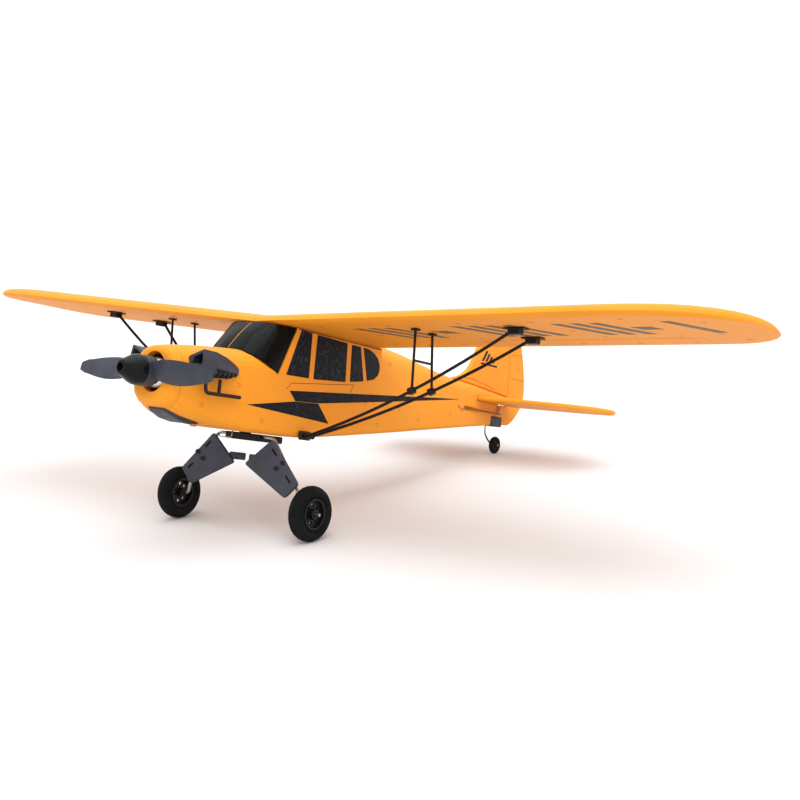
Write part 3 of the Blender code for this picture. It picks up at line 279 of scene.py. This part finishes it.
M["servo"] = plastic("servo_case_blue", (0.015, 0.04, 0.13), 0.3, 0.006, spec=0.4)
M["wrap"] = plastic("battery_wrap", (0.02, 0.05, 0.15), 0.3, 0.01, spec=0.4)
M["pcb"] = plastic("board_green", (0.02, 0.12, 0.05), 0.45, 0.02)
# the second colour of each film is its painted highlight, mixed in as lighter flecks
M["film"] = sticker("window_film", (0.0022, 0.0022, 0.004), (0.038, 0.038, 0.064), 1.35, 2.2)
M["stripe"] = sticker("stripe_film", (0.0035, 0.0033, 0.005), (0.03, 0.03, 0.042), 1.3, 1.3, 0.42, 0.10)
M["mark"] = plastic("mark_olive", (0.115, 0.09, 0.055), 0.6, 0.02, spec=0.3)
M["seam"] = plastic("seam_brown", (0.17, 0.04, 0.008), 0.75, 0.02, spec=0.2)
M["vent"] = plastic("vent_brown", (0.12, 0.026, 0.005), 0.8, 0.02, spec=0.2)
M["hinge"] = plastic("hinge_film", (0.62, 0.23, 0.03), 0.35, 0.01, spec=0.3)
M["yellowp"] = plastic("yellow_plastic", (0.72, 0.26, 0.035), 0.4, 0.008, spec=0.35)

USE = {
    "foam": ["fuselage", "wing_left", "wing_right", "aileron_left", "aileron_right", "fin", "rudder", "stabilizer",
             "elevator", "cowl_nose", "battery_hatch"],
    "slate": ["propeller", "cylinder_left", "cylinder_right", "gear_plate_left", "gear_plate_right", "lower_scoop"],
    "strut": ["wing_strut_left", "wing_strut_right", "jury_strut_left", "jury_strut_right"],
    "yellowp": ["horn_elevator", "horn_rudder"],
    "black": ["strut_bracket_left_front", "strut_bracket_left_rear", "strut_bracket_right_front", "strut_bracket_right_rear", "gear_clamp",
              "horn_aileron_left", "horn_aileron_right", "arm_aileron_left",
              "arm_aileron_right", "arm_elevator", "arm_rudder"],
    "gloss": ["windshield"], "hub": ["prop_hub"], "rim": ["rim_left", "rim_right"],
    "brown": ["exhaust_left", "exhaust_right", "strut_fitting_left", "strut_fitting_right"],
    "bay": ["motor_mount"],
    "steel": ["gear_wire", "tail_wire"],
    "rodm": ["pushrod_aileron_left", "pushrod_aileron_right", "pushrod_elevator", "pushrod_rudder"],
    "silver": ["motor_bell"],
    "rubber": ["tyre_left", "tyre_right", "tail_wheel"],
    "grey": ["tail_box"],
    "servo": ["servo_aileron_left", "servo_aileron_right", "servo_elevator", "servo_rudder"],
    "wrap": ["battery"], "pcb": ["receiver"],
}
for key, names in USE.items():
    for n in names:
        ob = NODES[n]
        if ob.material_slots:
            for s in ob.material_slots:
                s.material = M[key]
        else:
            ob.data.materials.append(M[key])


# ------------------------------------------------- smoothing helper for the CAD nodes (not called)
def soften(name, angle=38, bevel=0.0, seg=2):
    ob = NODES[name]
    w = ob.modifiers.new("weld", "WELD")
    w.merge_threshold = 0.00001
    if bevel:
        b = ob.modifiers.new("edge", "BEVEL")
        b.width = bevel * 0.001
        b.segments = seg
        b.limit_method = "ANGLE"
        b.angle_limit = math.radians(angle)
        b.harden_normals = False
    for p in ob.data.polygons:
        p.use_smooth = True


# ------------------------------------------------------------ new pieces
def add(name, bm, mat, body="airframe", smooth=True, level=True, parent_ride=True):
    me = bpy.data.meshes.new(name)
    bmesh.ops.recalc_face_normals(bm, faces=bm.faces)
    bm.to_mesh(me)
    bm.free()
    if level:
        me.transform(L2R)
    for p in me.polygons:
        p.use_smooth = smooth
    me.materials.append(mat)
    ob = bpy.data.objects.new(name, me)
    scene.collection.objects.link(ob)
    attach(ob, body)
    return ob


def dense(outline, step):
    out = []
    n = len(outline)
    for i in range(n):
        a, b = Vector(outline[i]), Vector(outline[(i + 1) % n])
        k = max(1, int((b - a).length / step))
        for j in range(k):
            out.append(a.lerp(b, j / k))
    return out


def decal_into(bm, outline, place, step=2.5, lift=0.16, sink=0.10, edge_step=2.0):
    """Thin film with real thickness: outline is 2-D, place(u, v) gives (point, normal) on the surface."""
    rim = dense(outline, edge_step)
    xs = [p.x for p in rim]
    ys = [p.y for p in rim]
    pts = list(rim)
    edges = [(i, (i + 1) % len(rim)) for i in range(len(rim))]
    x = min(xs) + step / 2
    while x < max(xs):
        y = min(ys) + step / 2
        while y < max(ys):
            q = Vector((x, y))
            if min((q - r).length for r in rim) > step * 0.45:
                pts.append(q)
            y += step
        x += step
    vs, es, fs, *_ = delaunay_2d_cdt(pts, edges, [list(range(len(rim)))], 1, 1e-5)
    top, bot = [], []
    for v in vs:
        got = place(v.x, v.y)
        if got is None:
            top.append(None)
            bot.append(None)
            continue
        p, n = got
        top.append(bm.verts.new(p + n * lift))
        bot.append(bm.verts.new(p - n * sink))
    count = {}
    for f in fs:
        if any(top[i] is None for i in f):
            continue
        bm.faces.new([top[i] for i in f])
        bm.faces.new([bot[i] for i in reversed(f)])
        for i in range(len(f)):
            a, b = f[i], f[(i + 1) % len(f)]
            key = (min(a, b), max(a, b))
            if key in count:
                count[key] = None
            else:
                count[key] = (a, b)
    for ab in count.values():
        if ab:
            a, b = ab
            bm.faces.new((top[b], top[a], bot[a], bot[b]))


FUS = surface("fuselage", "cowl_nose")


def on_side(sx, bvh=FUS, reach=80.0):
    def place(y, z):
        hit, n, i, d = bvh.ray_cast(Vector((sx * reach, y, z)), Vector((-sx, 0, 0)))
        if hit is None:
            return None
        if n.x * sx < 0:
            n = -n
        return hit, n
    return place


def rounded(outline, r, seg=4):
    out = []
    n = len(outline)
    for i in range(n):
        a, p, b = Vector(outline[i - 1]), Vector(outline[i]), Vector(outline[(i + 1) % n])
        rr = r[i] if isinstance(r, (list, tuple)) else r
        va, vb = a - p, b - p
        t = min(rr, 0.45 * va.length, 0.45 * vb.length)
        if t < 0.05:
            out.append(tuple(p))
            continue
        q0, q1 = p + va.normalized() * t, p + vb.normalized() * t
        for k in range(seg + 1):
            s = k / seg
            q = q0 * (1 - s) ** 2 + p * 2 * s * (1 - s) + q1 * s * s
            out.append((q.x, q.y))
    return out


WINDOWS = [
    ([(125.5, 42.0), (136.5, 41.2), (138.3, 11.4), (115.6, 11.1)], 0.8),
    ([(142.0, 41.1), (174.9, 40.3), (177.6, 13.6), (143.0, 11.4)], 0.8),
    ([(180.0, 40.0), (190.4, 39.9), (198.6, 16.5), (182.6, 14.4)], 0.8),
]
W4 = [(193.9, 39.9), (201.0, 39.6), (207.5, 37.8), (213.2, 34.6), (216.2, 30.6), (216.9, 26.6), (215.3, 22.6), (210.9, 19.4), (202.7, 17.4)]
STRIPE_UP = [(120.8, 1.3), (304.8, 15.8), (344.1, 18.6), (151.4, -3.9), (127.6, -4.9)]
STRIPE_LOW = [(82.7, -11.7), (127.4, -5.15), (151.2, -4.2), (164.4, -16.5)]

for sx, side in ((1, "left"), (-1, "right")):
    place = on_side(sx)
    for i, (o, r) in enumerate(WINDOWS + [(W4, 0.0)]):
        bm = bmesh.new()
        decal_into(bm, rounded(o, r) if r else o, place)
        add(f"window_{side}_{i + 1}", bm, M["film"], smooth=False)
    bm = bmesh.new()
    decal_into(bm, STRIPE_UP, place)
    decal_into(bm, STRIPE_LOW, place)
    add(f"side_stripe_{side}", bm, M["stripe"], smooth=False)


# ------------------------------------------------------------ panel lines
def ribbon(bm, pts, width, place, lift=0.10, sink=0.12, step=1.5):
    """Narrow strip along a 2-D run of points on the surface."""
    run = []
    for a, b in zip(pts, pts[1:]):
        a, b = Vector(a), Vector(b)
        k = max(1, int((b - a).length / step))
        run += [a.lerp(b, j / k) for j in range(k)]
    run.append(Vector(pts[-1]))
    rows = []
    for i, p in enumerate(run):
        d = (run[min(i + 1, len(run) - 1)] - run[max(i - 1, 0)])
        if d.length < 1e-6:
            continue
        d.normalize()
        n2 = Vector((-d.y, d.x)) * width / 2
        a, b = place(*(p + n2)), place(*(p - n2))
        if a is None or b is None:
            if len(rows) > 1:
                close_rows(bm, rows)
            rows = []
            continue
        rows.append([bm.verts.new(q) for q in (a[0] + a[1] * lift, b[0] + b[1] * lift,
                                               b[0] - b[1] * sink, a[0] - a[1] * sink)])
    if len(rows) > 1:
        close_rows(bm, rows)


def close_rows(bm, rows):
    for r, q in zip(rows, rows[1:]):
        for i in range(4):
            j = (i + 1) % 4
            bm.faces.new((r[i], r[j], q[j], q[i]))
    bm.faces.new(list(reversed(rows[0])))
    bm.faces.new(rows[-1])


def dot(bm, p, n, r, lift=0.08, sink=0.15, seg=8):
    """Small round plug, the end of a steam vent."""
    a = Vector((0, 0, 1)) if abs(n.z) < 0.9 else Vector((1, 0, 0))
    u = n.cross(a).normalized()
    w = n.cross(u)
    top = [bm.verts.new(p + n * lift + (u * math.cos(t) + w * math.sin(t)) * r)
           for t in (2 * math.pi * i / seg for i in range(seg))]
    mid = bm.verts.new(p + n * (lift - 0.06))
    bot = [bm.verts.new(v.co - n * (lift + sink)) for v in top]
    for i in range(seg):
        j = (i + 1) % seg
        bm.faces.new((top[i], top[j], mid))
        bm.faces.new((top[j], top[i], bot[i], bot[j]))
    bm.faces.new(list(reversed(bot)))


def rosette(bm, place, u, v, r=1.45, dot_r=0.27, turn=0.0):
    got = place(u, v)
    if got is None:
        return
    dot(bm, got[0], got[1], dot_r)
    for i in range(6):
        t = turn + i * math.pi / 3
        q = place(u + r * math.cos(t), v + r * math.sin(t))
        if q is not None:
            dot(bm, q[0], q[1], dot_r)


def on_level(bvh, down):
    """Place (x, y) on a surface seen from above or below."""
    def place(x, y):
        hit, n, i, d = bvh.ray_cast(Vector((x, y, -120 if down else 160)), Vector((0, 0, 1 if down else -1)))
        if hit is None:
            return None
        if n.z * (-1 if down else 1) < 0:
            n = -n
        return hit, n
    return place


for sx, side in ((1, "left"), (-1, "right")):
    place = on_side(sx)
    bm = bmesh.new()
    # cabin door above the stripe
    ribbon(bm, [(117.4, 1.9), (121.8, 6.3), (187.9, 12.8), (184.4, 7.0)], 0.34, place)
    add(f"panel_lines_{side}", bm, M["seam"], smooth=False)
    bm = bmesh.new()
    for u, v, t in ((74.0, -0.8, 0.3), (98.0, -20.5, 0.6), (121.0, 22.0, 0.0), (58.0, 16.5, 0.2), (46.0, -16.0, 0.1),
                    (230.0, 33.0, 0.4), (250.0, 2.0, 0.7), (222.0, -12.5, 0.2), (300.0, 30.0, 0.9), (330.0, 5.5, 0.5),
                    (205.0, 2.0, 0.3), (280.0, -4.0, 0.1)):
        rosette(bm, place, u, v, turn=t)
    add(f"body_vents_{side}", bm, M["vent"], smooth=False)

TOP = {}
for sx, side in ((1, "left"), (-1, "right")):
    wing = surface("wing_" + side)
    low, high = on_level(wing, True), on_level(wing, False)
    bm = bmesh.new()
    for x, y in ((44, 122), (47, 200), (70, 208), (64, 160), (96, 124), (100, 205), (128, 181), (148, 122), (150, 200),
                 (196, 124), (215, 182), (205, 158), (252, 122), (262, 183), (292, 140), (288, 178), (296, 200), (236, 160)):
        rosette(bm, low, sx * x, y, turn=R.random())
    for x, y in ((40, 118), (60, 190), (92, 150), (104, 205), (150, 118), (200, 170), (230, 120), (262, 160), (285, 195), (240, 182)):
        rosette(bm, high, sx * x, y, turn=R.random())
    add(f"wing_vents_{side}", bm, M["vent"], smooth=False)
    ail = surface("aileron_" + side)
    alow, ahigh = on_level(ail, True), on_level(ail, False)
    bm = bmesh.new()
    for x, y in ((140, 208), (188, 207), (226, 208), (262, 207)):
        rosette(bm, alow, sx * x, y, turn=R.random())
        rosette(bm, ahigh, sx * (x + 6), y, turn=R.random())
    add(f"aileron_vents_{side}", bm, M["vent"], body=f"aileron_{side}_unit", smooth=False)
    # plain slanted bars and blocks on the underside of the left wing
    if sx > 0:
        bm = bmesh.new()
        def bar(x, w, y0=132.0, y1=174.0, lean=17.0):
            decal_into(bm, [(x, y0), (x + w, y0), (x + w + lean * (y1 - y0) / 42, y1), (x + lean * (y1 - y0) / 42, y1)],
                       low, step=5.0, lift=0.10, sink=0.06, edge_step=5.0)
        for x in (62.0, 74.0, 86.0):
            bar(x, 6.0)
        bar(112.0, 12.0, 148.0, 158.0)
        for x in (136.0, 148.0, 160.0, 172.0):
            bar(x, 6.0)
        for x in (204.0, 216.0, 228.0):
            bar(x, 6.0)
        bar(246.0, 12.0, 148.0, 158.0)
        bar(270.0, 6.0)
        add("underside_marks", bm, M["mark"], smooth=False)
    # hinge film along the aileron, top side, fixed to the wing
    bm = bmesh.new()
    ribbon(bm, [(sx * 124.0, 189.3), (sx * 269.0, 189.3)], 1.2, high, lift=0.08, sink=0.05, step=4)
    add(f"hinge_tape_{side}", bm, M["hinge"], smooth=False)

# fin and rudder: seams, vents and a plain slanted-bar mark
for sx, side in ((1, "left"), (-1, "right")):
    fin, rud = on_side(sx, surface("fin")), on_side(sx, surface("rudder"))
    bm = bmesh.new()
    ribbon(bm, [(352.0, 37.6), (372.0, 38.4), (392.0, 36.8), (412.0, 33.2)], 0.3, fin)
    add(f"fin_seam_{side}", bm, M["seam"], smooth=False)
    bm = bmesh.new()
    ribbon(bm, [(435.5, 46.5), (461.5, 46.5)], 0.28, rud)
    ribbon(bm, [(434.0, 66.5), (454.8, 68.5)], 0.28, rud)
    for u, v in ((446, 31), (441, 80), (449, 56)):
        rosette(bm, rud, u, v)
    add(f"rudder_lines_{side}", bm, M["seam"], body="rudder_unit", smooth=False)
    bm = bmesh.new()
    for i, (y0, h) in enumerate(((386.0, 9.0), (391.5, 7.0), (397.0, 5.2), (402.5, 3.6))):
        decal_into(bm, [(y0, 55.5), (y0 + 3.2, 55.5), (y0 + 3.2 + h * 0.6, 55.5 + h), (y0 + h * 0.6, 55.5 + h)], fin, step=2.0)
    decal_into(bm, [(384.5, 52.4), (412.0, 52.4), (410.8, 54.0), (385.4, 54.0)], fin, step=2.0)
    add(f"fin_mark_{side}", bm, M["black"], smooth=False)

# wing root joint line, pushrod exit fairings, screen seam, gear details
def level_box(bm, x0, x1, y0, y1, z0, z1, bevel=0.0):
    r = bmesh.ops.create_cube(bm, size=1.0)
    for v in r["verts"]:
        v.co = Vector(((x0 + x1) / 2 + v.co.x * (x1 - x0), (y0 + y1) / 2 + v.co.y * (y1 - y0), (z0 + z1) / 2 + v.co.z * (z1 - z0)))
    if bevel:
        es = list({e for v in r["verts"] for e in v.link_edges})
        bmesh.ops.bevel(bm, geom=es, offset=bevel, segments=2, affect="EDGES", clamp_overlap=True)


def wire(bm, pts, rad, seg=10):
    """Bent round wire through the points."""
    rings = []
    pts = [Vector(p) for p in pts]
    for i, p in enumerate(pts):
        d = (pts[min(i + 1, len(pts) - 1)] - pts[max(i - 1, 0)]).normalized()
        a = Vector((0, 0, 1)) if abs(d.z) < 0.9 else Vector((1, 0, 0))
        u = d.cross(a).normalized()
        w = d.cross(u)
        rings.append([bm.verts.new(p + (u * math.cos(t) + w * math.sin(t)) * rad)
                      for t in (2 * math.pi * k / seg for k in range(seg))])
    for q, r in zip(rings, rings[1:]):
        for k in range(seg):
            j = (k + 1) % seg
            bm.faces.new((q[k], q[j], r[j], r[k]))
    bm.faces.new(list(reversed(rings[0])))
    bm.faces.new(rings[-1])


for sx, side in ((1, "left"), (-1, "right")):
    place = on_side(sx)
    bm = bmesh.new()
    ribbon(bm, [(123.0, 42.0), (160.0, 41.7), (216.0, 41.4)], 0.85, place)
    add(f"root_line_{side}", bm, M["seam"], smooth=False)
    # cooling ribs on the side of the dummy engine block
    cyl = on_side(sx, surface("cylinder_" + side))
    bm = bmesh.new()
    ribbon(bm, [(46.0, 3.9), (68.5, 3.9)], 4.6, cyl, lift=0.25, sink=0.3, step=1.0)
    ribbon(bm, [(47.0, 2.6), (67.5, 2.6)], 0.9, cyl, lift=0.8, sink=0.3, step=1.0)
    for y in (48.0, 52.6, 57.2, 61.8, 66.0):
        ribbon(bm, [(y, 2.0), (y + 0.8, 5.8)], 1.3, cyl, lift=0.9, sink=0.3, step=0.6)
    ribbon(bm, [(50.0, 4.7), (59.0, 4.7)], 1.0, cyl, lift=0.7, sink=0.3, step=1.0)
    add(f"engine_ribs_{side}", bm, M["black"], smooth=False)
    # gear plate: screws in the bosses and thin black sheets in the slots, painted shade for the slot openings
    bm = bmesh.new()
    for cx, cz in ((37.9, -45.4), (32.8, -49.4)):
        wire(bm, [(sx * cx, 106.7, cz), (sx * cx, 107.9, cz)], 1.25, 14)
    add(f"gear_screws_{side}", bm, M["black"], smooth=False)
    # thin black sheets set in the slots: painted shade of the slot openings
    bm = bmesh.new()
    for cx, cz, ang in ((29.6, -39.6, -42.0), (43.6, -55.4, -42.0)):
        t = bmesh.new()
        level_box(t, -3.15, 3.15, -0.35, 0.35, -1.0, 1.0)
        mtx = Matrix.Translation((sx * cx, 109.6, cz)) @ Matrix.Rotation(math.radians(-ang * sx), 4, "Y")
        bmesh.ops.transform(t, matrix=mtx, verts=t.verts)
        tm = bpy.data.meshes.new("t")
        t.to_mesh(tm)
        t.free()
        bm.from_mesh(tm)
        bpy.data.meshes.remove(tm)
    add(f"gear_slot_painted_shade_{side}", bm, M["black"], smooth=False)

# pushrod exit guides on the tail boom
for x, z, tag in ((10.0, 12.6, "left"), (-10.0, 6.5, "right")):
    sx = 1 if x > 0 else -1
    got = on_side(sx)(348.0, z + 4.0)
    edge = got[0].x + 1.1 * sx if got else x + 2.5 * sx
    bm = bmesh.new()
    level_box(bm, min(x - 1.2 * sx, edge), max(x - 1.2 * sx, edge), 345.5, 351.5, z - 2.0, z + 2.0, 0.6)
    add(f"pushrod_guide_{tag}", bm, M["yellowp"])

# belly latch: a bent wire just ahead of the gear clamp
bm = bmesh.new()
wire(bm, [(-7.2, 106.4, -28.4), (-7.2, 106.4, -32.4), (-7.7, 106.4, -33.1), (-8.6, 106.4, -33.4), (-17.4, 106.4, -33.6), (-18.2, 106.4, -33.2), (-18.4, 106.4, -32.4)], 0.4)
add("belly_latch_wire", bm, M["steel"])

# windshield: moulded centre rib
ws = surface("windshield")


def on_front(x, z):
    hit, n, i, d = ws.ray_cast(Vector((x, 40.0, z)), Vector((0, 1, 0)))
    if hit is None:
        return None
    return hit, (n if n.y < 0 else -n)


bm = bmesh.new()
ribbon(bm, [(0.0, 12.5), (0.0, 42.5)], 0.45, on_front, lift=0.12, sink=0.15, step=1.0)
add("screen_centre_rib", bm, M["hinge"], smooth=False)

# vents on the tailplane and the elevator
tail = surface("stabilizer")
for down, tag in ((True, "low"), (False, "high")):
    place = on_level(tail, down)
    bm = bmesh.new()
    for sx in (1, -1):
        for x, y in ((30, 390), (62, 398), (90, 402), (44, 404)):
            rosette(bm, place, sx * x, y)
    add(f"tailplane_vents_{tag}", bm, M["vent"], smooth=False)
bm = bmesh.new()
place = on_level(surface("elevator"), False)
for sx in (1, -1):
    for x, y in ((36, 426), (84, 428)):
        rosette(bm, place, sx * x, y)
add("elevator_vents", bm, M["vent"], body="elevator_unit", smooth=False)

# --------------------------------------------------------------- the studio
def studio():
    bm = bmesh.new()
    s = 60.0
    for x, y in ((-s, -s), (s, -s), (s, s), (-s, s)):
        bm.verts.new((x, y, 0))
    bm.faces.new(bm.verts)
    me = bpy.data.meshes.new("floor")
    bm.to_mesh(me)
    bm.free()
    floor = bpy.data.objects.new("floor", me)
    scene.collection.objects.link(floor)
    m, nt, b = new_mat("floor_pale")
    v = coords(nt)
    nt.links.new(mixc(nt, noise(nt, v, 3.0, 2), (0.665, 0.67, 0.68), (0.685, 0.69, 0.70)), b.inputs["Base Color"])
    b.inputs["Roughness"].default_value = 0.9
    b.inputs["Specular IOR Level"].default_value = 0.1
    me.materials.append(m)
    w = bpy.data.worlds.new("studio")
    scene.world = w
    w.use_nodes = True
    bg = w.node_tree.nodes["Background"]
    bg.inputs["Color"].default_value = (1.0, 1.0, 1.0, 1.0)
    bg.inputs["Strength"].default_value = 1.2
    for name, loc, angle, power in (("key", (1.3, -1.5, 1.9), 35.0, 1.0), ("top", (0.2, 0.4, 2.4), 60.0, 1.3)):
        d = bpy.data.lights.new(name, "SUN")
        d.angle = math.radians(angle)
        d.energy = power
        o = bpy.data.objects.new(name, d)
        scene.collection.objects.link(o)
        o.location = loc
        o.rotation_mode = "QUATERNION"
        o.rotation_quaternion = (-Vector(loc)).to_track_quat("-Z", "Y")


studio()
scene.view_settings.view_transform = "Standard"

# ----------------------------------------------------------------- camera
fwd = Vector((-0.5861, 0.7983, -0.1387)).normalized()
up = Vector((-0.0705, 0.1203, 0.9902))
up = (up - up.dot(fwd) * fwd).normalized()
right = fwd.cross(up)
cam = bpy.data.cameras.new("camera")
cam.sensor_width = 36.0
cam.lens = 1163.0 / 800.0 * 36.0
cam.clip_start, cam.clip_end = 0.01, 50.0
co = bpy.data.objects.new("camera", cam)
scene.collection.objects.link(co)
# the viewpoint was found in a frame whose origin is the hub
co.matrix_world = Matrix(((right.x, up.x, -fwd.x, 0.5262),
                          (right.y, up.y, -fwd.y, -0.4436 + _ty * 0.001),
                          (right.z, up.z, -fwd.z, 0.1881 + (_tz - 116.3) * 0.001),
                          (0, 0, 0, 1)))
scene.camera = co
